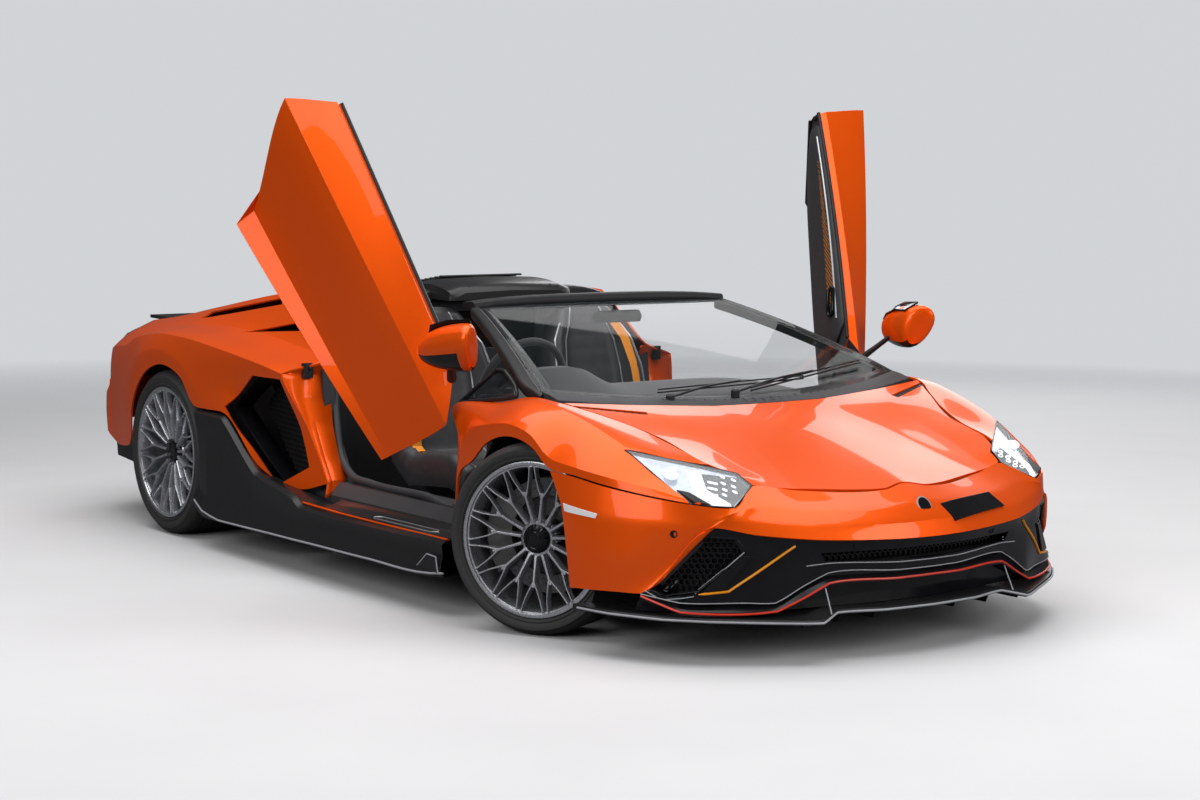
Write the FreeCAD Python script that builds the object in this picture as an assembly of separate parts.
import FreeCAD, Part
import math
import os

# Open two-seat supercar with its roof panels off, its doors swung up and its front wheels turned left.
# Millimetres. +X is the nose, +Y the car's left, +Z up, and the origin lies on the ground below the middle.
# Tables of body points hold the left half; the right half is its mirror image.
Vector = FreeCAD.Vector
UP = Vector(0, 0, 1)
LEFTWARD = Vector(0, 1, 0)
FORWARD = Vector(1, 0, 0)

NOSE_X = 2434.0

# Wheels and their places
FRONT_AXLE_X = 1384.0
REAR_AXLE_X = -1316.0
FRONT_TYRE_R = 331.0
REAR_TYRE_R = 355.0
FRONT_TYRE_WIDTH = 255.0
REAR_TYRE_WIDTH = 345.0
FRONT_SIDEWALL = 63.0
REAR_SIDEWALL = 73.0
FRONT_RIM_R = FRONT_TYRE_R - FRONT_SIDEWALL
REAR_RIM_R = REAR_TYRE_R - REAR_SIDEWALL
FRONT_TRACK_HALF = 860.0
REAR_TRACK_HALF = 838.0
BARREL_WALL = 12.0
SPOKE_PAIRS = 15
SPOKE_WIDTH = 9.0
SPOKE_DEPTH = 24.0
SPOKE_FORK = 0.535
SPOKE_SPREAD = 0.81
SPOKE_DISH = 30.0
RIM_LIP = 8.0
RIM_INSET = 6.0
FLANGE = 8.0
BEAD_GAP = 0.3
TYRE_SHOULDER = 0.055
TYRE_BULGE = 0.35
HUB_R = 62.0
NUT_R = 34.0
NUT_DEPTH = 22.0
DISC_THICK = 34.0
FRONT_DISC_R = FRONT_RIM_R - 68.0
REAR_DISC_R = REAR_RIM_R - 92.0
AXLE_R = 25.0
RUNNING_GAP = 0.06
AXLE_END_GAP = 5.0
STEER_TURN = 27.6

# Front knuckles and suspension
KINGPIN_Y = FRONT_TRACK_HALF - 70.0
KINGPIN_R = 14.0
KINGPIN_POST_R = 30.0
KINGPIN_HALF = 82.0
EYE_R = 28.0
EYE_THICK = 24.0
EYE_GAP = 1.0
ARM_ROOT_Y = 318.0
ARM_SPREAD = 150.0
ARM_WIDTH = 30.0
REAR_ARM_ROOT_Y = 330.0
REAR_UPRIGHT_Y = REAR_TRACK_HALF - 198.0
HALF_SHAFT_R = 18.0
ENGINE_HALF = 270.0

# Panels, gaps and glass
SKIN = 8.0
LID_SKIN = 14.0
GLASS = 5.0
SHUT_GAP = 6.0
WELL_R = REAR_TYRE_R + 37.0
WELL_DROP = 20.0
WELL_WALL = 4.0
FRONT_WELL_INNER_Y = 548.0
REAR_WELL_INNER_Y = REAR_TRACK_HALF - 220.0
FRONT_WELL_OUTER_Y = FRONT_TRACK_HALF + 40.0
REAR_WELL_OUTER_Y = REAR_TRACK_HALF + 122.0
FRONT_LIP_R = FRONT_TYRE_R + 15.0
REAR_LIP_R = REAR_TYRE_R + 25.0
SEAT_GAP = 0.3

# Door swing
DOOR_TURN = 64.2
DOOR_PIVOT = Vector(1001, 900, 717)
DOOR_AXIS = Vector(0.078, 0.914, -0.396)

# Hinges: axes of the lids and the wing as (x, z), and the pieces on a pin
LID_HINGE = (1438.0, 774.0)
LID_HINGE_Y = 765.0
COVER_HINGE = (-604.0, 1064.0)
COVER_HINGE_Y = 90.0
WING_HINGE = (-2106.0, 870.0)
WING_HINGE_Y = 420.0
PIN_R = 5.0
RING_R = 9.0
LUG_HALF = 6.0
EAR_THICK = 8.0
SIDE_GAP = 5.0
ARM_R = 8.0

# Cabin
FLOOR_Z = 125.0
FLOOR_THICK = 35.0
FLOOR_SHEET_TOP = FLOOR_Z + 11.7
POST_OUTER_Y = 800.0
SHELF_THICK = 16.6
LINER_TOP = FRONT_TYRE_R - WELL_DROP + WELL_R + WELL_WALL
SHELF_TOP = LINER_TOP + SEAT_GAP + SHELF_THICK
SEAT_X = 66.0
SEAT_Y = 372.0
SEAT_WIDTH = 500.0
WHEEL_RIM_R = 180.0
DRIVER_Y = -372.0
BEAM_HALF = 520.0
FRONT_RAIL_Y = 265.0
HORN_Y = 400.0
REAR_RAIL_Y = 365.0
RAIL_HALF = 20.0
TAIL_BEAM_X = -2262.0
TOW_Y = -300.0
TOW_Z = 350.0
TOW_R = 10.0
TOW_DEPTH = 40.0
MOUTH_HALF = 425.0
MOUTH_LOW = 264.0
MOUTH_HIGH = 372.0
COLUMN_R = 26.0
COLUMN_LENGTH = 150.0
COLUMN_LEAN = 68.0


def arc_point(centre_x, centre_z, radius, degrees, y):
    """Point on a wheel arch, measured from straight ahead and upwards."""
    angle = math.radians(degrees)
    return (centre_x + radius * math.cos(angle), y, centre_z + radius * math.sin(angle))


def front_lip(degrees, y):
    return arc_point(FRONT_AXLE_X, FRONT_TYRE_R, FRONT_LIP_R, degrees, y)


def rear_lip(degrees, y):
    return arc_point(REAR_AXLE_X, REAR_TYRE_R, REAR_LIP_R, degrees, y)


# Front wing, one row per spoke of the arch: inner edge, crest, side crease, arch lip or shut line
FRONT_FENDER = [
    [(984, 952, 400), (990, 962, 400), (998, 970, 400), (1008, 976, 400)],
    [(992, 956, 520), (1006, 967, 520), (1022, 975, 520), (1052, 981, 525)],
    [(1002, 958, 632), (1034, 968, 640), (1072, 980, 640), front_lip(137, 984)],
    [(878, 903, 733), (985, 925, 722), (1140, 984, 684), front_lip(118, 985)],
    [(1122, 846, 768), (1180, 890, 764), (1240, 986, 706), front_lip(104, 986)],
    [(1290, 832, 796), (1330, 874, 790), (1384, 986, 718), front_lip(90, 986)],
    [(1444, 824, 788), (1480, 862, 779), (1500, 984, 694), front_lip(68, 985)],
    [(1590, 748, 752), (1620, 850, 748), (1600, 980, 630), front_lip(49, 982)],
    [(1720, 688, 714), (1740, 842, 712), (1730, 966, 608), (1730, 968, 582)],
    [(1850, 656, 674), (1850, 830, 672), (1850, 936, 590), (1850, 938, 563)],
    [(2033, 640, 625), (2010, 740, 608), (2002, 862, 562), (2005, 872, 540)],
    [(2150, 562, 572), (2170, 650, 545), (2142, 758, 523), (2126, 781, 520)],
]

# Bonnet, rear to front: centre, front kink, ridge, hollow, side edge
BONNET = [
    [(1556, 0, 754), (1556, 87, 754), (1552, 250, 756), (1506, 560, 772), (1450, 812, 788)],
    [(1630, 0, 734), (1630, 87, 733), (1630, 258, 734), (1620, 520, 744), (1596, 738, 750)],
    [(1804, 0, 686), (1804, 87, 685), (1804, 304, 676), (1804, 500, 677), (1796, 650, 688)],
    [(2000, 0, 629), (2000, 87, 627), (2000, 355, 610), (2000, 500, 612), (2000, 636, 631)],
    [(2140, 0, 587), (2140, 87, 583), (2130, 390, 567), (2125, 480, 572), (2110, 580, 592)],
    [(2262, 0, 548), (2280, 87, 536), (2192, 408, 547), (2172, 500, 556), (2153, 552, 566)],
]

# Nose skin, centre to arch: bonnet edge or shut line, upper crease, lower crease, lower edge
NOSE = [
    [(2270, 0, 545), (2357, 0, 497), (2415, 0, 440), (2434, 0, 388)],
    [(2288, 88, 532), (2362, 110, 488), (2412, 120, 438), (2430, 130, 390)],
    [(2200, 410, 542), (2292, 430, 490), (2340, 445, 445), (2364, 455, 405)],
    [(2161, 556, 563), (2232, 590, 505), (2262, 620, 462), (2272, 635, 424)],
    [(2214, 670, 507), (2222, 690, 490), (2214, 712, 466), (2205, 728, 442)],
    [(2138, 787, 516), (2163, 768, 450), (2095, 832, 335), (2016, 900, 224)],
    [(2005, 872, 534), (2012, 893, 460), (1985, 918, 340), (1940, 940, 222)],
    [(1850, 938, 557), (1858, 960, 461), (1850, 970, 340), (1840, 975, 218)],
    [(1730, 968, 576), (1735, 984, 470), (1745, 988, 340), (1765, 988, 214)],
    [(1617, 982, 585), (1690, 985, 474), (1722, 988, 340), (1744, 988, 212)],
]

# Headlamp outline: rear tip, upper, inner, front, outer
LAMP = [(1846, 842, 672), (2097, 572, 602), (2158, 557, 567), (2212, 670, 510), (2132, 785, 518)]
LAMP_DEPTH = 62.0
LENS = 4.0
LAMP_WALL = 6.0
LAMP_RISE = 14.0
BLADE_DEPTH = 46.0

# Door lines in the shut place: rear end, middle, front end
DOOR_LINES = {
    "belt": [(-229, 782, 816), (300, 850, 786), (848, 908, 743)],
    "crease": [(-306, 970, 761), (340, 975, 705), (990, 958, 637)],
    "knee": [(-77, 918, 343), (440, 938, 335), (962, 948, 330)],
    "low": [(-64, 968, 280), (440, 968, 286), (958, 952, 298)],
}
DOOR_INNER = {
    "belt": [(-222, 756, 806), (300, 822, 778), (788, 866, 738)],
    "crease": [(-250, 752, 720), (340, 812, 680), (872, 858, 650)],
    "knee": [(-80, 852, 360), (440, 856, 352), (950, 880, 350)],
    "low": [(-64, 915, 282), (440, 912, 288), (950, 912, 300)],
}
TRIM_OUTLINE = [(-190, 770), (-205, 720), (-45, 380), (915, 372), (925, 600), (820, 705), (300, 752)]
TRIM_THICK = 18.0
TRIM_GAP = 0.3

# Rear quarter, door to tail: engine-cover edge, buttress edge, shoulder, crease, flare, lip or lower edge
REAR_QUARTER = [
    [(-400, 480, 1078), (-330, 600, 1058), (-243, 776, 822),
     (-316, 966, 765), (-215, 905, 560), (-88, 884, 345)],
    [(-480, 480, 1076), (-450, 610, 1062), (-400, 770, 838),
     (-430, 975, 785), (-340, 928, 540), (-230, 925, 308.3)],
    [(-610, 480, 1070), (-600, 620, 1062), (-600, 765, 860),
     (-600, 978, 806), (-560, 960, 560), (-480, 975, 372)],
    [(-780, 480, 1055), (-780, 628, 1056), (-780, 765, 880),
     (-780, 982, 826), (-760, 992, 660), (-740, 1008, 574)],
    [(-940, 480, 1030), (-940, 636, 1045), (-940, 770, 892),
     (-940, 985, 842), (-925, 1005, 650), (-900, 1012, 578)],
    [(-1050, 480, 1010), (-1050, 645, 1030), (-1050, 778, 898),
     (-1050, 986, 852), (-1000, 1010, 665), rear_lip(37, 1013)],
    [(-1200, 480, 985), (-1200, 655, 1006), (-1200, 790, 900),
     (-1200, 986, 860), (-1150, 1012, 755), rear_lip(62, 1014)],
    [(-1394, 480, 958), (-1394, 668, 974), (-1394, 812, 896),
     (-1394, 982, 862), (-1370, 1012, 795), rear_lip(95, 1014)],
    [(-1560, 480, 932), (-1560, 682, 946), (-1560, 830, 880),
     (-1560, 972, 846), (-1580, 1008, 755), rear_lip(125, 1012)],
    [(-1700, 480, 915), (-1700, 700, 920), (-1700, 848, 862),
     (-1720, 958, 820), (-1725, 992, 640), rear_lip(155, 1005)],
    [(-1830, 480, 900), (-1830, 715, 900), (-1850, 868, 838),
     (-1820, 946, 785), (-1810, 978, 560), rear_lip(178, 995)],
    [(-1960, 480, 888), (-1960, 720, 885), (-1980, 850, 826),
     (-1970, 920, 770), (-1940, 945, 540), (-1860, 965, 330)],
    [(-2075, 480, 877), (-2080, 700, 872), (-2110, 820, 808),
     (-2120, 885, 750), (-2110, 905, 540), (-2060, 925, 350)],
]
SIDE_INTAKE = [(-330, 742), (-545, 742), (-745, 600), (-372, 312), (-196, 400)]
SKIRT_SEAT_Y = 872.3
UPPER_INLET = [(-900, 1030), (-1440, 945), (-1450, 915), (-860, 1005)]
LOWER_INLET = [(-560, 958), (-985, 885), (-520, 915)]
MESH_CELL = 62.0
MESH_BAR = 7.0
MESH_THICK = 8.0

# Engine cover, front to rear: centre, rib, edge
ENGINE_COVER = [
    [(-618, 0, 1082), (-618, 200, 1080), (-618, 473, 1070)],
    [(-780, 0, 1070), (-780, 200, 1066), (-780, 473, 1055)],
    [(-1050, 0, 1034), (-1050, 200, 1028), (-1050, 473, 1010)],
    [(-1394, 0, 980), (-1394, 200, 974), (-1394, 473, 958)],
    [(-1700, 0, 935), (-1700, 200, 929), (-1700, 473, 915)],
    [(-2068, 0, 886), (-2068, 200, 884), (-2068, 473, 877)],
]
COVER_SLOTS = [-720, -900, -1080, -1260, -1440]
COVER_SLOT_LENGTH = 90.0
COVER_SLOT_WIDTH = 560.0

# Tail, centre to side: top edge, lamp line, bumper crease, lower edge
REAR_PANEL = [
    [(-2290, 0, 858), (-2310, 0, 800), (-2330, 0, 700), (-2345, 0, 610)],
    [(-2280, 350, 856), (-2300, 360, 800), (-2322, 370, 700), (-2336, 380, 610)],
    [(-2240, 640, 850), (-2256, 660, 795), (-2274, 680, 700), (-2286, 690, 610)],
    [(-2150, 800, 812), (-2172, 828, 770), (-2186, 845, 690), (-2196, 850, 612)],
]
REAR_BUMPER = [
    [(-2350, 0, 602), (-2400, 0, 540), (-2395, 0, 470), (-2370, 0, 430)],
    [(-2340, 380, 602), (-2388, 390, 540), (-2384, 395, 470), (-2360, 400, 430)],
    [(-2290, 692, 602), (-2326, 715, 540), (-2318, 725, 460), (-2290, 730, 400)],
    [(-2200, 852, 604), (-2222, 874, 540), (-2210, 882, 450), (-2180, 890, 370)],
    [(-2124, 902, 604), (-2126, 902, 540), (-2112, 908, 450), (-2080, 920, 352)],
]

# Side skirt, front to rear: x, inner top, outer top, blade edge, bottom
SKIRT = [
    (1070, SKIRT_SEAT_Y, 262, 1012, 262, 1030, 172, 148),
    (980, SKIRT_SEAT_Y, 268, 1018, 268, 1042, 160, 140),
    (500, SKIRT_SEAT_Y, 268, 1022, 268, 1049, 150, 132),
    (-13, SKIRT_SEAT_Y, 268, 1022, 268, 1049, 146, 130),
    (-75, SKIRT_SEAT_Y, 270, 1022, 271, 1049, 145, 130),
    (-130, 880, 284, 1020, 298, 1049, 145, 130),
    (-467, 940, 350, 1016, 362, 1049, 142, 128),
    (-740, 962, 545, 1022, 563, 1049, 140, 126),
    (-905, 975, 560, 1024, 567, 1046, 168, 130),
    (-1002, 975, 560, 1024, 567, 1040, 230, 180),
]

# Windscreen: rows from the cowl to the header
SCREEN_BASE = (1506, 767)
SCREEN_CORNER = (1309, 809, 812)
HEADER_EDGE = (509, 1070)
HEADER_CORNER = (530, 570, 1066)
SCREEN_BOW = 16.0
PILLAR_WIDTH = 62.0
PILLAR_DEPTH = 58.0
HEADER_BACK = 92.0
HEADER_RISE = 44.0

PIPE_R = 62.0
PIPE_WALL = 6.0
PIPE_Z = 505.0
PIPE_YS = (-95.0, 95.0)
WING_CHORD = 230.0
WING_HALF = 600.0
WING_THICK = 16.0


def triangle(a, b, c):
    return Part.Face(Part.makePolygon([a, b, c, a]))


def cell_faces(a, b, c, d):
    """A four-cornered patch: one flat face where it is flat, else two triangles."""
    normal = (b - a).cross(c - a)
    if normal.Length > 1e-6 and abs((d - a).dot(normal) / normal.Length) < 1e-8:
        return [Part.Face(Part.makePolygon([a, b, c, d, a]))]
    return [triangle(a, b, c), triangle(a, c, d)]


def closed_solid(faces):
    shell = Part.makeShell(faces)
    shell.sewShape()
    solid = Part.makeSolid(shell)
    if solid.Volume < 0:
        solid.reverse()
    return solid


def between(outer, inner):
    """Closed solid between two grids of points with the same rows and columns."""
    rows, columns = len(outer), len(outer[0])
    faces = []
    for i in range(rows - 1):
        for j in range(columns - 1):
            faces += cell_faces(outer[i][j], outer[i + 1][j], outer[i + 1][j + 1], outer[i][j + 1])
            faces += cell_faces(inner[i][j], inner[i][j + 1], inner[i + 1][j + 1], inner[i + 1][j])
    rim = [(i, 0) for i in range(rows)] + [(rows - 1, j) for j in range(1, columns)]
    rim += [(i, columns - 1) for i in range(rows - 2, -1, -1)] + [(0, j) for j in range(columns - 2, 0, -1)]
    for (i, j), (k, m) in zip(rim, rim[1:] + rim[:1]):
        faces += cell_faces(outer[i][j], inner[i][j], inner[k][m], outer[k][m])
    return closed_solid(faces)


def through(rings):
    """Closed solid through rings of points, one ring after another, with fans of triangles over the ends."""
    count = len(rings[0])
    faces = []
    for ring_a, ring_b in zip(rings, rings[1:]):
        for i in range(count):
            k = (i + 1) % count
            faces += cell_faces(ring_a[i], ring_b[i], ring_b[k], ring_a[k])
    for ring_end, flip in ((rings[0], False), (rings[-1], True)):
        middle = sum(ring_end, Vector()) * (1 / count)
        for i in range(count):
            a, b = ring_end[i], ring_end[(i + 1) % count]
            faces.append(triangle(middle, b, a) if flip else triangle(middle, a, b))
    return closed_solid(faces)


def grid_normals(grid, inside):
    """Unit normal at each point of a grid, pointing away from a point inside the car."""
    rows, columns = len(grid), len(grid[0])
    normals = []
    for i in range(rows):
        line = []
        for j in range(columns):
            along = grid[min(i + 1, rows - 1)][j] - grid[max(i - 1, 0)][j]
            across = grid[i][min(j + 1, columns - 1)] - grid[i][max(j - 1, 0)]
            normal = along.cross(across)
            normal.normalize()
            if normal.dot(grid[i][j] - inside) < 0:
                normal = normal * -1
            line.append(normal)
        normals.append(line)
    return normals


def as_vectors(table):
    return [[Vector(*point) for point in row] for row in table]


def sheet(table, wall, inside):
    """Skin with its outer face through a table of points and its wall towards the inside point."""
    grid = as_vectors(table)
    normals = grid_normals(grid, Vector(*inside))
    inner = [[p - n * wall for p, n in zip(line, sides)] for line, sides in zip(grid, normals)]
    return between(grid, inner)


def both_halves(table):
    """Full-width table from a table whose rows run outwards from the middle."""
    left = [list(row) for row in table]
    right = [[(x, -y, z) for x, y, z in row] for row in table[:0:-1]]
    return right + left


def mirrored(shape):
    return shape.mirror(Vector(0, 0, 0), LEFTWARD)


def pair(shape):
    return [shape, mirrored(shape)]


def prism_along_y(outline, low, high):
    points = [Vector(x, low, z) for x, z in outline]
    return Part.Face(Part.makePolygon(points + points[:1])).extrude(Vector(0, high - low, 0))


def prism_along_z(outline, low, high):
    points = [Vector(x, y, low) for x, y in outline]
    return Part.Face(Part.makePolygon(points + points[:1])).extrude(Vector(0, 0, high - low))


def prism_along_x(outline, low, high):
    points = [Vector(low, y, z) for y, z in outline]
    return Part.Face(Part.makePolygon(points + points[:1])).extrude(Vector(high - low, 0, 0))


def box(low, high):
    size = [b - a for a, b in zip(low, high)]
    return Part.makeBox(*size, Vector(*low))


def cylinder_y(radius, x, z, low, high):
    return Part.makeCylinder(radius, high - low, Vector(x, low, z), LEFTWARD)


def rod(start, end, radius):
    line = Vector(*end) - Vector(*start)
    return Part.makeCylinder(radius, line.Length, Vector(*start), line)


def fused(shapes):
    whole = shapes[0].multiFuse(shapes[1:]) if len(shapes) > 1 else shapes[0]
    return whole.removeSplitter()


def write(node, shapes):
    solids = [solid for shape in shapes for solid in shape.Solids]
    shape = solids[0] if len(solids) == 1 else Part.makeCompound(solids)
    shape.exportStep(os.path.join("parts", node + ".step"))


def stitch(start, end, steps):
    return [start + (end - start) * i / steps for i in range(steps + 1)]


# Wheels

def ring(profile, x, z):
    """Revolve a closed (radius, y) profile about a wheel's axle."""
    points = [Vector(x, y, z + radius) for radius, y in profile]
    face = Part.Face(Part.makePolygon(points + points[:1]))
    return face.revolve(Vector(x, 0, z), LEFTWARD, 360)


def tyre(x, z, radius, rim_r, inner_y, outer_y):
    shoulder = TYRE_SHOULDER * radius
    side = rim_r + (radius - rim_r) * TYRE_BULGE
    bead_r = rim_r - RIM_LIP
    flange_y = outer_y - RIM_INSET - FLANGE - BEAD_GAP
    profile = [
        (bead_r, inner_y + 10), (side, inner_y), (radius - shoulder, inner_y + 9), (radius, inner_y + 34),
        (radius, outer_y - 34), (radius - shoulder, outer_y - 9), (side, outer_y), (rim_r + 2, flange_y),
        (bead_r, flange_y), (bead_r, outer_y - 40), (bead_r, inner_y + 26),
    ]
    return ring(profile, x, z)


def spoke_pair(x, z, start_r, end_r, face_y, angle):
    """One forked spoke: a stem from the hub that divides into two arms at the rim."""
    fork_r = start_r + (end_r - start_r) * SPOKE_FORK
    spread = math.pi / SPOKE_PAIRS * SPOKE_SPREAD
    arms = []
    for sign in (-1, 1):
        tip = (end_r * math.sin(sign * spread), end_r * math.cos(sign * spread))
        root = (sign * SPOKE_WIDTH * 0.35, start_r)
        knee = (sign * SPOKE_WIDTH * 0.35, fork_r)
        path = [root, knee, tip]
        for (x0, r0), (x1, r1) in zip(path, path[1:]):
            length = math.hypot(x1 - x0, r1 - r0)
            nx, nz = (r1 - r0) / length, -(x1 - x0) / length
            half = SPOKE_WIDTH / 2
            y0 = face_y - SPOKE_DISH * (1 - (r0 - start_r) / (end_r - start_r))
            y1 = face_y - SPOKE_DISH * (1 - (r1 - start_r) / (end_r - start_r))
            ends = []
            for px, pz, y in ((x0, r0, y0), (x1, r1, y1)):
                corner = [
                    Vector(x + px + nx * half, y - SPOKE_DEPTH, z + pz + nz * half),
                    Vector(x + px + nx * half * 0.6, y, z + pz + nz * half * 0.6),
                    Vector(x + px - nx * half * 0.6, y, z + pz - nz * half * 0.6),
                    Vector(x + px - nx * half, y - SPOKE_DEPTH, z + pz - nz * half),
                ]
                ends.append(Part.makePolygon(corner + corner[:1]))
            arms.append(Part.makeLoft(ends, True, True))
    for arm in arms:
        arm.rotate(Vector(x, 0, z), LEFTWARD, angle)
    return arms


def rim(x, z, rim_r, inner_y, outer_y, disc_r, disc_y, hub_face_y):
    """Left wheel: lip, barrel, forked spokes, hub with centre nut, and brake disc on its hat."""
    bead_r = rim_r - RIM_LIP
    barrel = ring([
        (bead_r, inner_y + 2), (bead_r, outer_y - FLANGE), (rim_r, outer_y - FLANGE), (rim_r, outer_y),
        (bead_r - BARREL_WALL, outer_y), (bead_r - BARREL_WALL - 6, outer_y - 60),
        (bead_r - BARREL_WALL, inner_y + 2),
    ], x, z)
    hub = cylinder_y(HUB_R, x, z, disc_y - DISC_THICK / 2, hub_face_y)
    nut = prism_along_y(
        [(x + NUT_R * math.cos(math.radians(a)), z + NUT_R * math.sin(math.radians(a))) for a in range(0, 360, 60)],
        hub_face_y - 1, hub_face_y + NUT_DEPTH)
    disc = cylinder_y(disc_r, x, z, disc_y - DISC_THICK / 2, disc_y + DISC_THICK / 2)
    pieces = [barrel, hub, nut, disc]
    for i in range(SPOKE_PAIRS):
        pieces += spoke_pair(x, z, HUB_R - 8, bead_r - BARREL_WALL / 2, outer_y - 6, 360 / SPOKE_PAIRS * (i + 0.5))
    bore_low = disc_y - DISC_THICK / 2 - 1
    bore = cylinder_y(AXLE_R + RUNNING_GAP, x, z, bore_low, hub_face_y - 30)
    return fused(pieces).cut(bore)


FRONT_INNER_Y = FRONT_TRACK_HALF - FRONT_TYRE_WIDTH / 2
FRONT_OUTER_Y = FRONT_TRACK_HALF + FRONT_TYRE_WIDTH / 2
REAR_INNER_Y = REAR_TRACK_HALF - REAR_TYRE_WIDTH / 2
REAR_OUTER_Y = REAR_TRACK_HALF + REAR_TYRE_WIDTH / 2
FRONT_HUB_Y = FRONT_TRACK_HALF + 89.0
REAR_HUB_Y = REAR_TRACK_HALF + 120.0
FRONT_DISC_Y = FRONT_TRACK_HALF - 18.0
REAR_DISC_Y = REAR_TRACK_HALF + 12.0


def steered(shape, side):
    """Turn a front wheel or knuckle to the left about its kingpin."""
    turned = shape.copy()
    turned.rotate(Vector(FRONT_AXLE_X, side * KINGPIN_Y, 0), UP, STEER_TURN)
    return turned


def make_wheels():
    front_rim = rim(FRONT_AXLE_X, FRONT_TYRE_R, FRONT_RIM_R, FRONT_INNER_Y, FRONT_OUTER_Y - RIM_INSET,
                    FRONT_DISC_R, FRONT_DISC_Y, FRONT_HUB_Y)
    front_tyre = tyre(FRONT_AXLE_X, FRONT_TYRE_R, FRONT_TYRE_R, FRONT_RIM_R, FRONT_INNER_Y, FRONT_OUTER_Y)
    rear_rim = rim(REAR_AXLE_X, REAR_TYRE_R, REAR_RIM_R, REAR_INNER_Y, REAR_OUTER_Y - RIM_INSET,
                   REAR_DISC_R, REAR_DISC_Y, REAR_HUB_Y)
    rear_tyre = tyre(REAR_AXLE_X, REAR_TYRE_R, REAR_TYRE_R, REAR_RIM_R, REAR_INNER_Y, REAR_OUTER_Y)
    for name, side in (("left", 1), ("right", -1)):
        own = (lambda shape: shape) if side == 1 else mirrored
        write("rim_front_" + name, [steered(own(front_rim), side)])
        write("tyre_front_" + name, [steered(own(front_tyre), side)])
        write("rim_rear_" + name, [own(rear_rim)])
        write("tyre_rear_" + name, [own(rear_tyre)])


def caliper(x, z, disc_r, disc_y, start, end):
    """Fixed caliper that straddles the disc between two angles from straight ahead."""
    outer_r, inner_r = disc_r + 26, disc_r - 70
    angles = stitch(start, end, 5)
    outline = [(x + outer_r * math.cos(math.radians(a)), z + outer_r * math.sin(math.radians(a))) for a in angles]
    outline += [(x + inner_r * math.cos(math.radians(a)), z + inner_r * math.sin(math.radians(a)))
                for a in reversed(angles)]
    body = prism_along_y(outline, disc_y - 52, disc_y + 46)
    slot = cylinder_y(disc_r + 7, x, z, disc_y - DISC_THICK / 2 - 6, disc_y + DISC_THICK / 2 + 6)
    return body.cut(slot)


def front_knuckle():
    post = Part.makeCylinder(KINGPIN_POST_R, 2 * KINGPIN_HALF,
                             Vector(FRONT_AXLE_X, KINGPIN_Y, FRONT_TYRE_R - KINGPIN_HALF))
    pin = Part.makeCylinder(KINGPIN_R, 2 * (KINGPIN_HALF + EYE_GAP + EYE_THICK),
                            Vector(FRONT_AXLE_X, KINGPIN_Y, FRONT_TYRE_R - KINGPIN_HALF - EYE_GAP - EYE_THICK))
    spindle = cylinder_y(AXLE_R, FRONT_AXLE_X, FRONT_TYRE_R, KINGPIN_Y, FRONT_HUB_Y - 30 - AXLE_END_GAP)
    clamp = caliper(FRONT_AXLE_X, FRONT_TYRE_R, FRONT_DISC_R, FRONT_DISC_Y, 142, 218)
    bracket = box((FRONT_AXLE_X - 175, KINGPIN_Y - 16, FRONT_TYRE_R - 40),
                  (FRONT_AXLE_X, KINGPIN_Y + 8, FRONT_TYRE_R + 40))
    return fused([post, pin, spindle, clamp, bracket])


def make_knuckles():
    left = front_knuckle()
    write("knuckle_left", [steered(left, 1)])
    write("knuckle_right", [steered(mirrored(left), -1)])


def arm_eye(z_low):
    ring_body = Part.makeCylinder(EYE_R, EYE_THICK, Vector(FRONT_AXLE_X, KINGPIN_Y, z_low))
    legs = []
    for spread in (-ARM_SPREAD, ARM_SPREAD):
        dx, dy = spread, ARM_ROOT_Y - KINGPIN_Y
        length = math.hypot(dx, dy)
        nx, ny = -dy / length * ARM_WIDTH / 2, dx / length * ARM_WIDTH / 2
        x, y = FRONT_AXLE_X, KINGPIN_Y
        outline = [(x + nx, y + ny), (x + dx + nx, y + dy + ny), (x + dx - nx, y + dy - ny), (x - nx, y - ny)]
        legs.append(prism_along_z(outline, z_low, z_low + EYE_THICK))
    bore = Part.makeCylinder(KINGPIN_R + RUNNING_GAP, EYE_THICK + 2, Vector(FRONT_AXLE_X, KINGPIN_Y, z_low - 1))
    return fused([ring_body] + legs).cut(bore)


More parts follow.
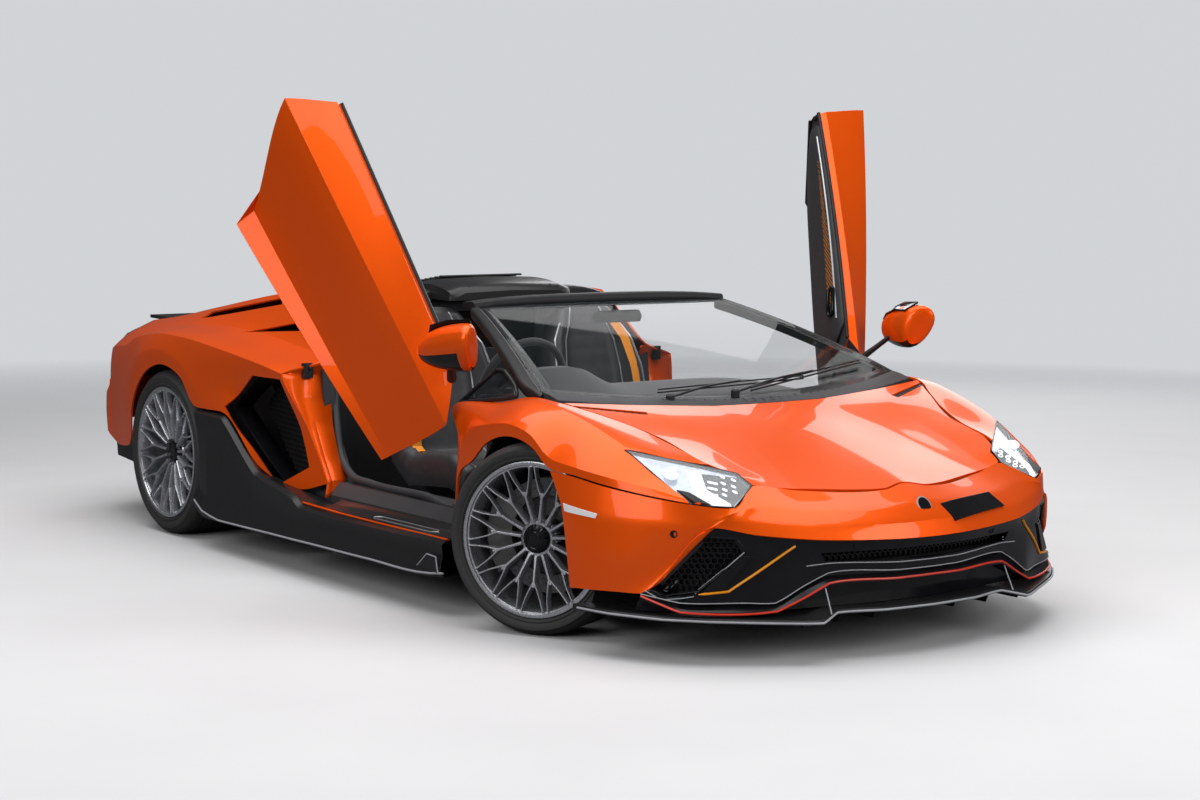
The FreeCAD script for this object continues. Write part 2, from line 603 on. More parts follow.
def make_suspension():
    low_z = FRONT_TYRE_R - KINGPIN_HALF - EYE_GAP - EYE_THICK
    high_z = FRONT_TYRE_R + KINGPIN_HALF + EYE_GAP
    frame = box((FRONT_AXLE_X - 190, -ARM_ROOT_Y - 20, 170), (FRONT_AXLE_X + 190, ARM_ROOT_Y + 20, 215))
    tower_top = high_z + EYE_THICK + 17
    towers = [box((FRONT_AXLE_X - 190, s * ARM_ROOT_Y - 20, 200),
                  (FRONT_AXLE_X + 190, s * ARM_ROOT_Y + 20, tower_top))
              for s in (1, -1)]
    arms = pair(arm_eye(low_z)) + pair(arm_eye(high_z))
    write("front_suspension", [fused([frame] + towers + arms)])

    frame = box((REAR_AXLE_X - 190, -REAR_ARM_ROOT_Y, 190), (REAR_AXLE_X + 190, REAR_ARM_ROOT_Y, 240))
    hub_end = REAR_HUB_Y - 30 - AXLE_END_GAP
    pieces = [frame]
    for side in (1, -1):
        own = (lambda shape: shape) if side == 1 else mirrored
        upright = box((REAR_AXLE_X - 60, REAR_UPRIGHT_Y, REAR_TYRE_R - 130),
                      (REAR_AXLE_X + 60, REAR_UPRIGHT_Y + 60, REAR_TYRE_R + 130))
        bearing = cylinder_y(60, REAR_AXLE_X, REAR_TYRE_R, REAR_UPRIGHT_Y, REAR_DISC_Y - 60)
        axle = cylinder_y(AXLE_R, REAR_AXLE_X, REAR_TYRE_R, REAR_UPRIGHT_Y, hub_end)
        shaft = cylinder_y(HALF_SHAFT_R, REAR_AXLE_X, REAR_TYRE_R, ENGINE_HALF + 0.3, REAR_UPRIGHT_Y + 5)
        clamp = caliper(REAR_AXLE_X, REAR_TYRE_R, REAR_DISC_R, REAR_DISC_Y, 20, 80)
        stay = box((REAR_AXLE_X + 20, REAR_UPRIGHT_Y, REAR_TYRE_R + 60),
                   (REAR_AXLE_X + 120, REAR_DISC_Y - 30, REAR_TYRE_R + 130))
        links = [rod((REAR_AXLE_X + dx, REAR_ARM_ROOT_Y - 30, REAR_TYRE_R + dz),
                     (REAR_AXLE_X + dx * 0.2, REAR_UPRIGHT_Y + 20, REAR_TYRE_R + dz), 14)
                 for dx in (-150, 150) for dz in (-110, 110)]
        tower = box((REAR_AXLE_X - 190, REAR_ARM_ROOT_Y - 40, 200),
                    (REAR_AXLE_X + 190, REAR_RAIL_Y - RAIL_HALF - SEAT_GAP, REAR_TYRE_R + 135))
        pieces += [own(piece) for piece in [upright, bearing, axle, shaft, clamp, stay, tower] + links]
    write("rear_suspension", [fused(pieces)])


# Body panels

def eared(shape, hinge, y, reach, low, high):
    """Add a pin between two ears, which reach along X from the hinge line to the panel."""
    x, z = hinge
    near, far = LUG_HALF + SIDE_GAP, LUG_HALF + SIDE_GAP + EAR_THICK
    pieces = [shape]
    for side in (1, -1):
        low_y, high_y = sorted((y + side * near, y + side * far))
        pieces.append(cylinder_y(RING_R, x, z, low_y, high_y))
        pieces.append(box((min(x, x + reach), low_y, low), (max(x, x + reach), high_y, high)))
    pieces.append(cylinder_y(PIN_R, x, z, y - far, y + far))
    return fused(pieces)


def lug(hinge, y, reach):
    """Bored ring on a short arm, which reaches along X from the hinge line to its carrier."""
    x, z = hinge
    arm = box((min(x, x + reach), y - LUG_HALF, z - RING_R + 2), (max(x, x + reach), y + LUG_HALF, z + RING_R - 2))
    whole = fused([cylinder_y(RING_R, x, z, y - LUG_HALF, y + LUG_HALF), arm])
    return whole.cut(cylinder_y(PIN_R + RUNNING_GAP, x, z, y - LUG_HALF - 1, y + LUG_HALF + 1))


def cut_all(shape, cutters):
    for cutter in cutters:
        shape = shape.cut(cutter)
    return shape


def lamp_prism(grow):
    """Vertical prism over the headlamp's outline, grown outwards by a gap."""
    middle_x = sum(p[0] for p in LAMP) / len(LAMP)
    middle_y = sum(p[1] for p in LAMP) / len(LAMP)
    outline = []
    for x, y, z in LAMP:
        length = math.hypot(x - middle_x, y - middle_y)
        outline.append((x + (x - middle_x) / length * grow, y + (y - middle_y) / length * grow))
    return prism_along_z(outline, 380, 760)


def make_front_body():
    inside = (1500, 300, 300)
    fender = sheet(FRONT_FENDER, SKIN, inside).cut(lamp_prism(4))
    tab = box((1008, POST_OUTER_Y + SEAT_GAP, 562), (1020, 962, 574))
    write("front_fenders", pair(fused([fender, tab])))

    nose = sheet(both_halves(NOSE), SKIN, (1700, 0, 300))
    nose = cut_all(nose, pair(lamp_prism(2)))
    tabs = [box((2155, s * 125 - 15, TOW_Z + 40 + SEAT_GAP), (2421, s * 125 + 15, TOW_Z + 58)) for s in (1, -1)]
    write("front_bumper", [fused([nose] + tabs)])

    lid_rows = [[(x, -y, z) for x, y, z in row[:0:-1]] + row for row in BONNET]
    lid = sheet(lid_rows, LID_SKIN, (1800, 0, 300))
    slot = prism_along_z([(1478, 800), (1582, 560), (1608, 572), (1500, 800)], 600, 900)
    lid = cut_all(lid, pair(slot) + pair(lamp_prism(SHUT_GAP)))
    for side in (1, -1):
        lid = eared(lid, LID_HINGE, side * LID_HINGE_Y, 40, 766, 776)
    write("front_lid", [lid])


def make_lamps():
    top = [Vector(*p) for p in LAMP]
    centre = sum(top, Vector()) * (1 / len(top))
    inset = [p + (centre - p) * 0.03 for p in top]

    def fan(points, depth_a, depth_b):
        upper = [p - UP * depth_a for p in points]
        lower = [p - UP * depth_b for p in points]
        faces = []
        for group in (upper, lower):
            faces += [triangle(group[0], group[1], group[2]), triangle(group[0], group[2], group[3]),
                      triangle(group[0], group[3], group[4])]
        for i in range(len(points)):
            k = (i + 1) % len(points)
            faces += cell_faces(upper[i], lower[i], lower[k], upper[k])
        return closed_solid(faces)

    lens = fan(inset, 1, 1 + LENS)
    bowl = fan(inset, 1 + LENS, LAMP_DEPTH)
    hollow_points = [p + (centre - p) * 0.1 for p in top]
    bowl = bowl.cut(fan(hollow_points, -20, LAMP_DEPTH - LAMP_WALL))
    ribs = []
    for share in (0.36, 0.62):
        foot = top[0] + (top[3] - top[0]) * share
        rib = Part.makeCylinder(30, 26, Vector(foot.x, foot.y + 12, foot.z - LAMP_DEPTH - 2))
        ribs.append(rib)
    bracket = [box((2090, HORN_Y + RAIL_HALF + 5 + SEAT_GAP, TOW_Z - 10), (2120, 640, TOW_Z + 10)),
               box((2090, 610, TOW_Z - 10), (2120, 640, 515))]
    write("headlamp_lenses", pair(lens))
    write("headlamps", pair(fused([bowl] + ribs + bracket)))


def make_front_fascia():
    """Black lower nose: a dished backing with a centre mesh, side intake frames and Y-shaped blades."""
    back = [
        [(2400, 0, 380), (2385, 0, 330), (2385, 0, 250), (2395, 0, 178)],
        [(2335, 445, 395), (2318, 440, 330), (2318, 430, 250), (2340, 400, 178)],
        [(2245, 640, 418), (2190, 620, 330), (2180, 610, 250), (2200, 640, 178)],
        [(2150, 758, 440), (2085, 790, 345), (2040, 830, 270), (2010, 880, 200)],
    ]
    backing = sheet(both_halves(back), 10, (1700, 0, 300))
    blade = [
        [(2425, 0, 262), (2428, 0, 250), (2425, 0, 236)],
        [(2366, 380, 262), (2370, 380, 250), (2366, 380, 236)],
        [(2310, 567, 196), (2316, 572, 184), (2310, 567, 170)],
        [(2170, 760, 196), (2176, 765, 184), (2170, 760, 170)],
    ]
    bar_face = as_vectors(both_halves(blade))
    bar = between(bar_face, [[p - FORWARD * BLADE_DEPTH for p in row] for row in bar_face])
    strut = fused([rod((2330, 470, 395), (2150, 650, 235), 13), rod((2150, 650, 235), (2070, 720, 230), 13)])
    arms = [box((2200 + SEAT_GAP, s * 150 - 15, 372), (2378, s * 150 + 15, 382)) for s in (1, -1)]
    mouth = box((2290, -MOUTH_HALF, MOUTH_LOW), (2420, MOUTH_HALF, MOUTH_HIGH))
    write("front_intakes", [fused([backing.cut(mouth), bar] + pair(strut) + arms)])


def make_splitter():
    outline = [(2432, 0), (2407, 460), (2325, 590), (2211, 770), (2107, 880), (1930, 962), (1762, 992),
               (1762, 900), (1900, 860), (2050, 700), (2150, 0)]
    full = outline + [(x, -y) for x, y in outline[-2:0:-1]]
    plate = prism_along_z(full, 146, 164)
    fences = [box((2180, s * y - 2, 116), (2330, s * y + 2, 150)) for s in (1, -1) for y in (180, 330, 480)]
    feet = [box((2125, s * y - 20, FLOOR_SHEET_TOP + SEAT_GAP), (2170, s * y + 20, 150))
            for s in (1, -1) for y in (200, 450)]
    write("splitter", [fused([plate] + fences + feet)])


def hex_mesh(outline, low, high, bar, cell):
    """Honeycomb plate in an XZ outline: whole cells are cut where they fit inside the frame."""
    plate = prism_along_y(outline, low, high)
    frame = Part.makePolygon([Vector(x, 0, z) for x, z in outline] + [Vector(outline[0][0], 0, outline[0][1])])
    flat = Part.Face(frame)
    hole_r = (cell - bar) / math.sqrt(3)
    xs = [x for x, z in outline]
    zs = [z for x, z in outline]
    holes = []
    row = 0
    z = min(zs)
    while z < max(zs):
        x = min(xs) + (cell / 2 if row % 2 else 0)
        while x < max(xs):
            corners = [(x + hole_r * math.sin(math.radians(60 * k)), z + hole_r * math.cos(math.radians(60 * k)))
                       for k in range(6)]
            if all(flat.isInside(Vector(cx, 0, cz), 0.1, True) for cx, cz in corners):
                holes.append(prism_along_y(corners, low - 1, high + 1))
            x += cell
        z += cell * math.sqrt(3) / 2
        row += 1
    return plate.cut(Part.makeCompound(holes)) if holes else plate


def shrink(outline, share):
    cx = sum(x for x, z in outline) / len(outline)
    cz = sum(z for x, z in outline) / len(outline)
    return [(cx + (x - cx) * share, cz + (z - cz) * share) for x, z in outline]


def make_rear_body():
    inside = (-1300, 200, 500)
    quarter = sheet(REAR_QUARTER, SKIN, inside)
    quarter = quarter.cut(prism_along_y(SIDE_INTAKE, 800, 1100))
    quarter = quarter.cut(prism_along_y(UPPER_INLET, 560, 800))
    quarter = quarter.cut(prism_along_y(LOWER_INLET, 640, 860))
    write("rear_quarters", pair(quarter))

    mesh = hex_mesh(shrink(SIDE_INTAKE, 1.06), 0, MESH_THICK, MESH_BAR, MESH_CELL)
    lean = math.degrees(math.atan2(60, 420))
    mesh.rotate(Vector(-196, 0, 400), UP, -lean)
    mesh.translate(Vector(0, 841, 0))
    write("side_grilles", pair(mesh))

    cover_rows = [[(x, -y, z) for x, y, z in row[:0:-1]] + row for row in ENGINE_COVER]
    cover = sheet(cover_rows, LID_SKIN, (-1300, 0, 500))
    slots = [box((x - COVER_SLOT_LENGTH, -COVER_SLOT_WIDTH / 2, 800), (x, COVER_SLOT_WIDTH / 2, 1200))
             for x in COVER_SLOTS]
    cover = cut_all(cover, slots)
    for side in (1, -1):
        cover = eared(cover, COVER_HINGE, side * COVER_HINGE_Y, -40, 1058, 1070)
    write("engine_cover", [cover])

    tail = sheet(both_halves(REAR_PANEL), 12, (-1300, 0, 600))
    tabs = [box((-2331, s * 250 - 20, 615), (TAIL_BEAM_X - SEAT_GAP, s * 250 + 20, 630)) for s in (1, -1)]
    write("rear_grille", [fused([tail] + tabs)])
    bumper = sheet(both_halves(REAR_BUMPER), SKIN, (-1300, 0, 500))
    tips = [Part.makeCylinder(PIPE_R + SHUT_GAP, 300, Vector(-2500, y, PIPE_Z), FORWARD) for y in PIPE_YS]
    tabs = [box((-2342, s * 250 - 20, 588), (TAIL_BEAM_X - SEAT_GAP, s * 250 + 20, 600)) for s in (1, -1)]
    write("rear_bumper", [fused([cut_all(bumper, tips)] + tabs)])

    lamp_rows = []
    for row_share in (1.12, 2.0, 2.95):
        row = min(int(row_share), 2)
        line = []
        for low_share in (0.18, 0.80):
            ends = [Vector(*REAR_PANEL[k][1]) * (1 - low_share) + Vector(*REAR_PANEL[k][2]) * low_share
                    for k in (row, row + 1)]
            point = ends[0] * (1 + row - row_share) + ends[1] * (row_share - row)
            line.append(tuple(point - FORWARD * 0.8))
        lamp_rows.append(line)
    write("tail_lamps", pair(sheet(lamp_rows, -LAMP_RISE, (-1300, 0, 600))))

    wing = prism_along_y([(-2100, 878), (-2100 - WING_CHORD, 882), (-2100 - WING_CHORD, 868),
                          (-2100, 878 - WING_THICK)], -WING_HALF, WING_HALF)
    for side in (1, -1):
        y = side * WING_HINGE_Y
        wing = wing.cut(box((-2126, y - LUG_HALF - SIDE_GAP, 850), (-2090, y + LUG_HALF + SIDE_GAP, 890)))
        wing = wing.fuse(cylinder_y(PIN_R, WING_HINGE[0], WING_HINGE[1], y - 16, y + 16))
    write("rear_wing", [wing])


def make_lower_body():
    rows = []
    for x, inner_y, inner_z, top_y, top_z, blade_y, blade_z, low_z in SKIRT:
        rows.append([Vector(x, inner_y, inner_z), Vector(x, top_y, top_z), Vector(x, blade_y, blade_z),
                     Vector(x, blade_y - 10, low_z), Vector(x, inner_y, low_z)])
    skirt = through(rows)
    well = cylinder_y(REAR_LIP_R, REAR_AXLE_X, REAR_TYRE_R, 800, 1100)
    front = cylinder_y(WELL_R + WELL_WALL + SHUT_GAP, FRONT_AXLE_X, FRONT_TYRE_R - WELL_DROP, 800, 1100)
    write("side_skirts", pair(skirt.cut(well).cut(front)))

    fin_x = (-2380, -1900)
    floor = [
        box((-1690 + SEAT_GAP, -REAR_WELL_INNER_Y, 128), (-350, REAR_WELL_INNER_Y, FLOOR_SHEET_TOP)),
        box((1030, -FRONT_WELL_INNER_Y, 128), (1780, FRONT_WELL_INNER_Y, FLOOR_SHEET_TOP)),
        box((1760, -700, 128), (2180, 700, FLOOR_SHEET_TOP)),
        box((-960, -872, 128), (-500, 872, FLOOR_SHEET_TOP)),
    ]
    write("underfloor", [fused(floor)])
    ramp = prism_along_y([(-1690, 128), (fin_x[0], 300), (fin_x[0], 420), (fin_x[0] + 14, 420),
                          (fin_x[0] + 14, 312), (-1690, 138)], -640, 640)
    fins = [prism_along_y([(-1850, 130), (fin_x[0], 150), (fin_x[0], 320), (-1850, 175)], y - 4, y + 4)
            for y in (-560, -340, -120, 120, 340, 560)]
    corners = [prism_along_y([(-1950, 200), (-2300, 230), (-2320, 350), (-2000, 340)], s * 780 - 8, s * 780 + 8)
               for s in (1, -1)]
    links = [box((-2290, min(s * 630, s * 780), 250), (-2270, max(s * 630, s * 780), 330)) for s in (1, -1)]
    feet = [box((TAIL_BEAM_X, s * REAR_RAIL_Y - 15, 272), (TAIL_BEAM_X + 40, s * REAR_RAIL_Y + 15, 300 - SEAT_GAP))
            for s in (1, -1)]
    pipes = [Part.makeCylinder(PIPE_R, 254, Vector(-NOSE_X, y, PIPE_Z), FORWARD) for y in PIPE_YS]
    bores = [Part.makeCylinder(PIPE_R - PIPE_WALL, 200, Vector(-NOSE_X - 1, y, PIPE_Z), FORWARD) for y in PIPE_YS]
    can = box((-2200, -330, PIPE_Z - 70), (-2000, 330, PIPE_Z + 70))
    hangers = pair(box((-2120, 300, 330 + SEAT_GAP), (-2080, REAR_RAIL_Y + 15, PIPE_Z - 65)))
    write("diffuser", [fused([ramp] + fins + corners + links + feet)])
    write("exhaust", [fused(pipes + [can] + hangers).cut(Part.makeCompound(bores))])


def well_liner(axle_x, tyre_r, inner_y, outer_y, low_z):
    """Curved liner with an inner wall, open at the outside and below."""
    centre_z = tyre_r - WELL_DROP
    drum = cylinder_y(WELL_R + WELL_WALL, axle_x, centre_z, inner_y - WELL_WALL, outer_y)
    hollow = cylinder_y(WELL_R, axle_x, centre_z, inner_y, outer_y + 1)
    below = box((axle_x - 500, inner_y - 20, -200), (axle_x + 500, outer_y + 10, low_z))
    return drum.cut(hollow).cut(below)


def make_liners():
    front = well_liner(FRONT_AXLE_X, FRONT_TYRE_R, FRONT_WELL_INNER_Y, FRONT_WELL_OUTER_Y,
                       FLOOR_SHEET_TOP + SEAT_GAP)
    opening = prism_along_y([(FRONT_AXLE_X - 170, 180), (FRONT_AXLE_X + 170, 180), (FRONT_AXLE_X + 170, 480),
                             (FRONT_AXLE_X - 170, 480)], 400, 700)
    rear = well_liner(REAR_AXLE_X, REAR_TYRE_R, REAR_WELL_INNER_Y, REAR_WELL_OUTER_Y,
                      FLOOR_SHEET_TOP + SEAT_GAP)
    rear_opening = prism_along_y([(REAR_AXLE_X - 175, 180), (REAR_AXLE_X + 175, 180), (REAR_AXLE_X + 175, 520),
                                  (REAR_AXLE_X - 175, 520)], 400, 700)
    write("wheel_liners", pair(front.cut(opening)) + pair(rear.cut(rear_opening)))


# Glass, screen frame and roll hoop

def screen_point(across, up):
    """Point of the windscreen: across runs -1 to 1, up runs 0 at the cowl to 1 at the header."""
    low = Vector(SCREEN_BASE[0] + (SCREEN_CORNER[0] - SCREEN_BASE[0]) * across ** 2, SCREEN_CORNER[1] * across,
                 SCREEN_BASE[1] + (SCREEN_CORNER[2] - SCREEN_BASE[1]) * across ** 2)
    high = Vector(HEADER_EDGE[0] + (HEADER_CORNER[0] - HEADER_EDGE[0]) * across ** 2, HEADER_CORNER[1] * across,
                  HEADER_EDGE[1] + (HEADER_CORNER[2] - HEADER_EDGE[1]) * across ** 2)
    point = low + (high - low) * up
    return point + Vector(0.35, 0, 1) * SCREEN_BOW * 4 * up * (1 - up)


def make_glass():
    rows = [[tuple(screen_point(a, u)) for a in stitch(-1.0, 1.0, 8)] for u in stitch(0.0, 1.0, 6)]
    screen = sheet(rows, GLASS, (900, 0, 500))
    quarter = [
        [(892, 880, 746), (1000, 862, 762), (1204, 838, 792)],
        [(930, 836, 800), (1010, 828, 812), (1156.3, 814.2, 822)],
        [(985, 782, 866), (1020, 789, 868), (1066, 800, 868)],
    ]
    side = sheet(quarter, GLASS, (900, 0, 500))
    write("windows", [screen] + pair(side))


def make_screen_frame():
    pillars = []
    stations = []
    for u in [-0.02] + stitch(0.0, 1.0, 6) + [1.02]:
        edge = screen_point(1.0, u)
        out = Vector(0.12, 0.80, -0.30)
        out.normalize()
        a = edge + out * 0.5
        b = edge + out * PILLAR_WIDTH * min(1.0, 0.24 + 5 * max(u, 0)) * (1.1 - 0.35 * u)
        c = b + Vector(-0.2, -0.3, -0.9) * PILLAR_DEPTH * 0.8
        d = a + Vector(-0.2, 0, -0.9) * PILLAR_DEPTH
        stations.append([a, b, c, d])
    pillar = through(stations)
    header_rows = []
    for across in [-1.02] + stitch(-1.0, 1.0, 8) + [1.02]:
        edge = screen_point(across, 1.0)
        a = edge + Vector(-0.8, 0, 0)
        b = edge + Vector(-14, 0, HEADER_RISE)
        c = edge + Vector(-HEADER_BACK, 0, HEADER_RISE - 6)
        d = edge + Vector(-HEADER_BACK, 0, 2)
        e = edge + Vector(-20, 0, -16)
        header_rows.append([a, b, c, d, e])
    header = through(header_rows)
    cowl_rows = []
    for across in stitch(-1.0, 1.0, 8):
        edge = screen_point(across, 0.0)
        a = edge + Vector(0.8, 0, 0)
        b = edge + Vector(36 + 62 * abs(across), 0, -12 - 6 * abs(across))
        c = b + Vector(0, 0, -60)
        d = edge + Vector(0.8, 0, -70)
        cowl_rows.append([a, b, c, d])
    cowl = through(cowl_rows)
    lugs = [lug(LID_HINGE, s * LID_HINGE_Y, -30) for s in (1, -1)]
    feet = pair(rod((1303, 813, 785), (1332, 800, 780), 7))
    write("windscreen_frame", [fused([header, cowl] + pair(pillar) + feet + lugs)])


def make_hoop():
    """Fixed roof end behind the seats: side legs, a cross bar and a raised centre hump."""
    section = [(-300, 690.3), (-300, 1030), (-590, 1030), (-590, 1000), (-350, 1000), (-345, 690.3)]
    legs = pair(prism_along_y(section, 470, 590))
    bar = prism_along_y([(-290, 1025), (-310, 1092), (-590, 1080), (-590, 1025)], -472, 472)
    hump_rows = []
    for x, half, top in ((-110, 300, 1100), (-200, 300, 1118), (-330, 274, 1130), (-590, 240, 1092)):
        hump_rows.append([Vector(x, -half, 1045), Vector(x, -half * 0.8, top), Vector(x, half * 0.8, top),
                          Vector(x, half, 1045)])
    hump = through(hump_rows)
    wall = box((-334, -590, 690.3), (-304, 590, 1040))
    window = box((-340, -240, 830), (-296, 240, 990))
    lugs = [lug(COVER_HINGE, s * COVER_HINGE_Y, 15) for s in (1, -1)]
    write("roll_hoop", [fused(legs + [bar, hump, wall] + lugs).cut(window)])


# Cabin

def door_axis_point(distance):
    """Point on the left door's hinge line, measured outwards from the pivot."""
    return DOOR_PIVOT + DOOR_AXIS * (distance / DOOR_AXIS.Length)


def door_post():
    """Left post on the sill: it carries the door's pin, the screen frame and the front wing."""
    post = prism_along_y([(925, 340), (982, 340), (1000, 500), (1030, 600), (1050, SHELF_TOP), (960, SHELF_TOP),
                          (940, 600)], POST_OUTER_Y - 70, POST_OUTER_Y)
    shelf = box((1000, 700, LINER_TOP + SEAT_GAP), (1448, 790, SHELF_TOP))
    head = box((975, POST_OUTER_Y - 50, 715), (1015, POST_OUTER_Y + 29, 755))
    boss = Part.makeCylinder(12, 20, door_axis_point(-95), DOOR_AXIS)
    pin = Part.makeCylinder(PIN_R + 1, 54, door_axis_point(-94), DOOR_AXIS)
    return fused([post, shelf, head, boss, pin])


def door_arm():
    """Arm from the door's front end to the ring on its hinge pin."""
    ring_body = Part.makeCylinder(RING_R + 1, 22, door_axis_point(-66), DOOR_AXIS)
    elbow = (997, 822, 639)
    arm = [rod(tuple(door_axis_point(-55)), elbow, ARM_R), rod(elbow, (895, 888, 560), ARM_R),
           Part.makeSphere(ARM_R, Vector(*elbow))]
    bore = Part.makeCylinder(PIN_R + 1 + RUNNING_GAP, 40, door_axis_point(-75), DOOR_AXIS)
    return fused([ring_body] + arm).cut(bore)


def make_tub():
    sill = [(690, 150), (690, 330), (722, 350), (828, 345), (872, 300), (872, 150)]
    sill_end = FRONT_AXLE_X - WELL_R - WELL_WALL - SEAT_GAP
    floor_low, floor_high = FLOOR_Z + 12, FLOOR_Z + 12 + FLOOR_THICK
    sills = pair(prism_along_x(sill, -337.2, sill_end))
    floor = box((-336, -700, floor_low), (sill_end, 700, floor_high))
    footwell = box((sill_end - 1, -520, floor_low), (1070, 520, floor_high))
    rear_wall = box((-400, -760, floor_low), (-336, 760, 690))
    front_wall = box((1020, -520, floor_low), (1070, 520, 565))
    jambs = [prism_along_y([(-336, 330), (-96, 330), (-245, 560), (-270, 780), (-336, 780)], s * 780 - 25, s * 780 + 25)
             for s in (1, -1)]
    write("tub", [fused(sills + [floor, footwell, rear_wall, front_wall] + jambs + pair(door_post()))])

    block = box((-1450, -ENGINE_HALF, 250), (-520, ENGINE_HALF, 800))
    mounts = pair(box((-1000, ENGINE_HALF - 1, 270), (-940, REAR_RAIL_Y - RAIL_HALF - SEAT_GAP, 320)))
    write("engine", [fused([block] + mounts)])

    side = HORN_Y - RAIL_HALF - 5 - SEAT_GAP
    outer = box((1800, -side, 300), (2100, side, 535))
    inner = box((1808, 8 - side, 308), (2092, side - 8, 570))
    write("luggage_tub", [outer.cut(inner)])


def make_subframes():
    """Front frame with its beam and towing socket, and rear frame with the tail beam and wing stays."""
    rails = [box((1070 + SEAT_GAP, s * FRONT_RAIL_Y - 25, 215 + SEAT_GAP), (1780, s * FRONT_RAIL_Y + 25, 300))
             for s in (1, -1)]
    beam = box((2150, -BEAM_HALF, TOW_Z - 40), (2200, BEAM_HALF, TOW_Z + 40))
    horns = [box((1779, s * HORN_Y - 25, TOW_Z - 40), (2151, s * HORN_Y + 25, TOW_Z + 40)) for s in (1, -1)]
    bridge = box((1750, -425, 260), (1780, 425, TOW_Z + 40))
    socket = Part.makeCylinder(TOW_R, TOW_DEPTH, Vector(2200 - TOW_DEPTH, TOW_Y, TOW_Z), FORWARD)
    front = fused([beam, bridge] + rails + horns).cut(socket)

    pieces = [box((TAIL_BEAM_X, -600, 585), (TAIL_BEAM_X + 40, 600, 640)),
              box((-1900, -REAR_RAIL_Y, 264), (-1860, REAR_RAIL_Y, 300))]
    for side in (1, -1):
        low_y, high_y = side * REAR_RAIL_Y - RAIL_HALF, side * REAR_RAIL_Y + RAIL_HALF
        pieces.append(box((-1900, low_y, 264), (-400 - SEAT_GAP, high_y, 330)))
        pieces.append(box((TAIL_BEAM_X, low_y, 300), (-1899, high_y, 330)))
        pieces.append(box((TAIL_BEAM_X, low_y, 300), (TAIL_BEAM_X + 40, high_y, 640)))
        y = side * WING_HINGE_Y
        x, z = WING_HINGE
        stay = prism_along_y([(TAIL_BEAM_X, 630), (TAIL_BEAM_X + 40, 630), (x + 8, z - 20), (x + 8, z), (x - 8, z),
                              (x - 8, z - 12)], y - LUG_HALF, y + LUG_HALF)
        head = cylinder_y(RING_R - 1, x, z, y - LUG_HALF, y + LUG_HALF)
        bore = cylinder_y(PIN_R + RUNNING_GAP, x, z, y - LUG_HALF - 1, y + LUG_HALF + 1)
        pieces.append(stay.fuse(head).cut(bore))
    write("subframes", [front, fused(pieces)])


def seat():
    profile = [(-250, 640), (-300, 900), (-262, 1010), (-190, 1000), (-170, 900), (-90, 560), (-20, 400), (300, 430),
               (420, 400), (420, 260), (300, 200), (-150, 200), (-230, 400)]
    body = prism_along_y(profile, SEAT_Y - SEAT_WIDTH / 2, SEAT_Y + SEAT_WIDTH / 2)
    bolsters = [prism_along_y([(-200, 620), (-60, 640), (40, 460), (400, 480), (420, 300), (-60, 300)],
                              SEAT_Y + s * 215 - 35, SEAT_Y + s * 215 + 35) for s in (1, -1)]
    top = prism_along_x([(SEAT_Y - 400, 150), (SEAT_Y - 250, 150), (SEAT_Y - 250, 620), (SEAT_Y - 130, 1100),
                         (SEAT_Y - 400, 1100)], -400, 500)
    other = prism_along_x([(SEAT_Y + 400, 150), (SEAT_Y + 250, 150), (SEAT_Y + 250, 620), (SEAT_Y + 130, 1100),
                           (SEAT_Y + 400, 1100)], -400, 500)
    runners = [box((-120, SEAT_Y + s * 150 - 15, FLOOR_Z + 12 + FLOOR_THICK + SEAT_GAP),
                   (280, SEAT_Y + s * 150 + 15, 260)) for s in (1, -1)]
    cushion = fused([body] + bolsters + runners).cut(top).cut(other)
    cushion.translate(Vector(SEAT_X, 0, 0))
    return cushion


def make_cabin():
    write("seats", pair(seat()))
    deck = prism_along_y([(620, 560), (600, 690), (660, 760), (1150, 745), (1230, 720), (1225, 700), (1060, 590),
                          (760, 560)], -660, 660)
    hood = prism_along_y([(620, 740), (640, 836), (760, 850), (1000, 745)], DRIVER_Y - 190, DRIVER_Y + 190)
    spine = prism_along_y([(-280, 172), (-280, 420), (250, 470), (640, 640), (700, 640), (1000, 560), (1000, 172)],
                          -110, 110)
    dash = fused([deck, hood, spine])

    ring_shape = Part.makeTorus(WHEEL_RIM_R, 14)
    hub_disc = Part.makeCylinder(52, 26, Vector(0, 0, -13))
    spokes = [box((-WHEEL_RIM_R + 5, -14, -8), (-30, 14, 8)), box((30, -14, -8), (WHEEL_RIM_R - 5, 14, 8)),
              box((-14, -WHEEL_RIM_R + 5, -8), (14, -30, 8))]
    column = Part.makeCylinder(COLUMN_R, COLUMN_LENGTH, Vector(0, 0, -COLUMN_LENGTH))
    column_seat = Part.makeCylinder(COLUMN_R + 0.3, COLUMN_LENGTH + 0.3, Vector(0, 0, -COLUMN_LENGTH - 0.3))
    wheel = fused([ring_shape, hub_disc, column] + spokes)
    for shape in (wheel, column_seat):
        shape.rotate(Vector(), UP, -90)
        shape.rotate(Vector(), LEFTWARD, -COLUMN_LEAN)
        shape.translate(Vector(520, DRIVER_Y, 760))
    write("steering_wheel", [wheel])
    write("dashboard", [dash.cut(column_seat)])


# Doors and mirrors

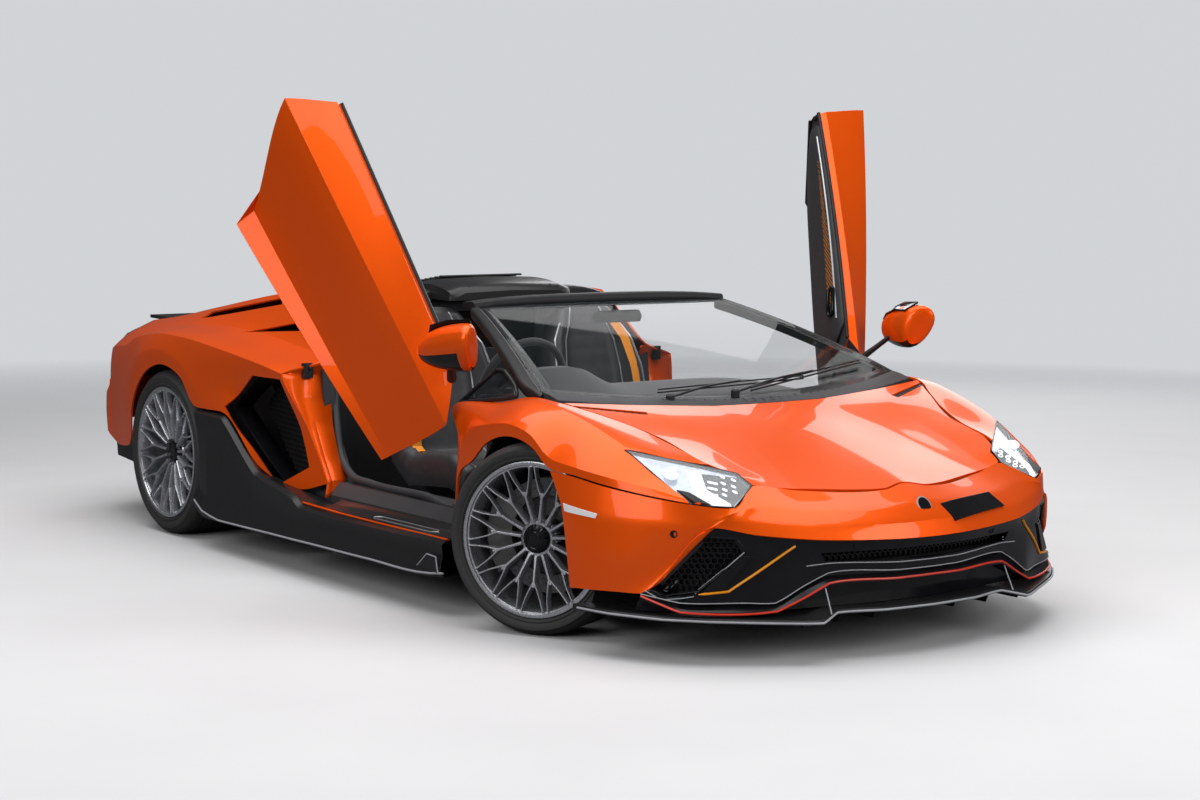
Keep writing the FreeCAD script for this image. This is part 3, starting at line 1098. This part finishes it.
def opened(shape, side):
    """Swing a shut door part up to the place where the door stands open."""
    turned = shape.copy()
    pivot = Vector(DOOR_PIVOT.x, side * DOOR_PIVOT.y, DOOR_PIVOT.z)
    axis = Vector(side * DOOR_AXIS.x, DOOR_AXIS.y, side * DOOR_AXIS.z)
    turned.rotate(pivot, axis, DOOR_TURN)
    return turned


def line_point(points, share):
    """Point on a smooth curve through a line's rear, middle and front points."""
    a, b, c = [Vector(*p) for p in points]
    return a * ((1 - share) * (1 - 2 * share)) + b * (4 * share * (1 - share)) + c * (share * (2 * share - 1))


def door_grid(lines, shares):
    return [[line_point(lines[name], s) for name in ("belt", "crease", "knee", "low")] for s in shares]


def mirror_solid():
    """Wedge-shaped mirror on its stalk, in the place it has with the door open."""
    rows = [
        [(941, 1062, 975), (960, 1100, 990), (1000, 1140, 960), (985, 1120, 900), (960, 1070, 905)],
        [(1060, 1010, 1010), (1090, 1060, 1050), (1120, 1130, 1010), (1110, 1110, 900), (1060, 1010, 880)],
        [(1170, 985, 1010), (1215, 1030, 1068), (1262, 1090, 1030), (1235, 1075, 925), (1165, 965, 882)],
    ]
    shell = through(as_vectors(rows))
    stalk = rod((962.8, 960.2, 832.3), (1075, 1035, 940), 15)
    return shell, stalk


def make_doors():
    shares = stitch(0.0, 1.0, 4)
    door = between(door_grid(DOOR_LINES, shares), door_grid(DOOR_INNER, shares))
    face = [row[:3] for row in door_grid(DOOR_INNER, shares)]
    near = [[p - LEFTWARD * TRIM_GAP for p in row] for row in face]
    far = [[p - LEFTWARD * TRIM_THICK for p in row] for row in face]
    trim = between(near, far).common(prism_along_y(TRIM_OUTLINE, 600, 1000))
    shell, stalk = mirror_solid()
    for name, side in (("left", 1), ("right", -1)):
        own = (lambda shape: shape) if side == 1 else mirrored
        write("door_" + name, [opened(own(fused([door, door_arm()])), side)])
        write("door_trim_" + name, [opened(own(trim), side)])
        write("mirror_" + name, [fused([own(shell), own(stalk)])])


os.makedirs("parts", exist_ok=True)
make_wheels()
make_knuckles()
make_suspension()
make_front_body()
make_lamps()
make_front_fascia()
make_splitter()
make_rear_body()
make_lower_body()
make_liners()
make_glass()
make_screen_frame()
make_hoop()
make_tub()
make_subframes()
make_cabin()
make_doors()
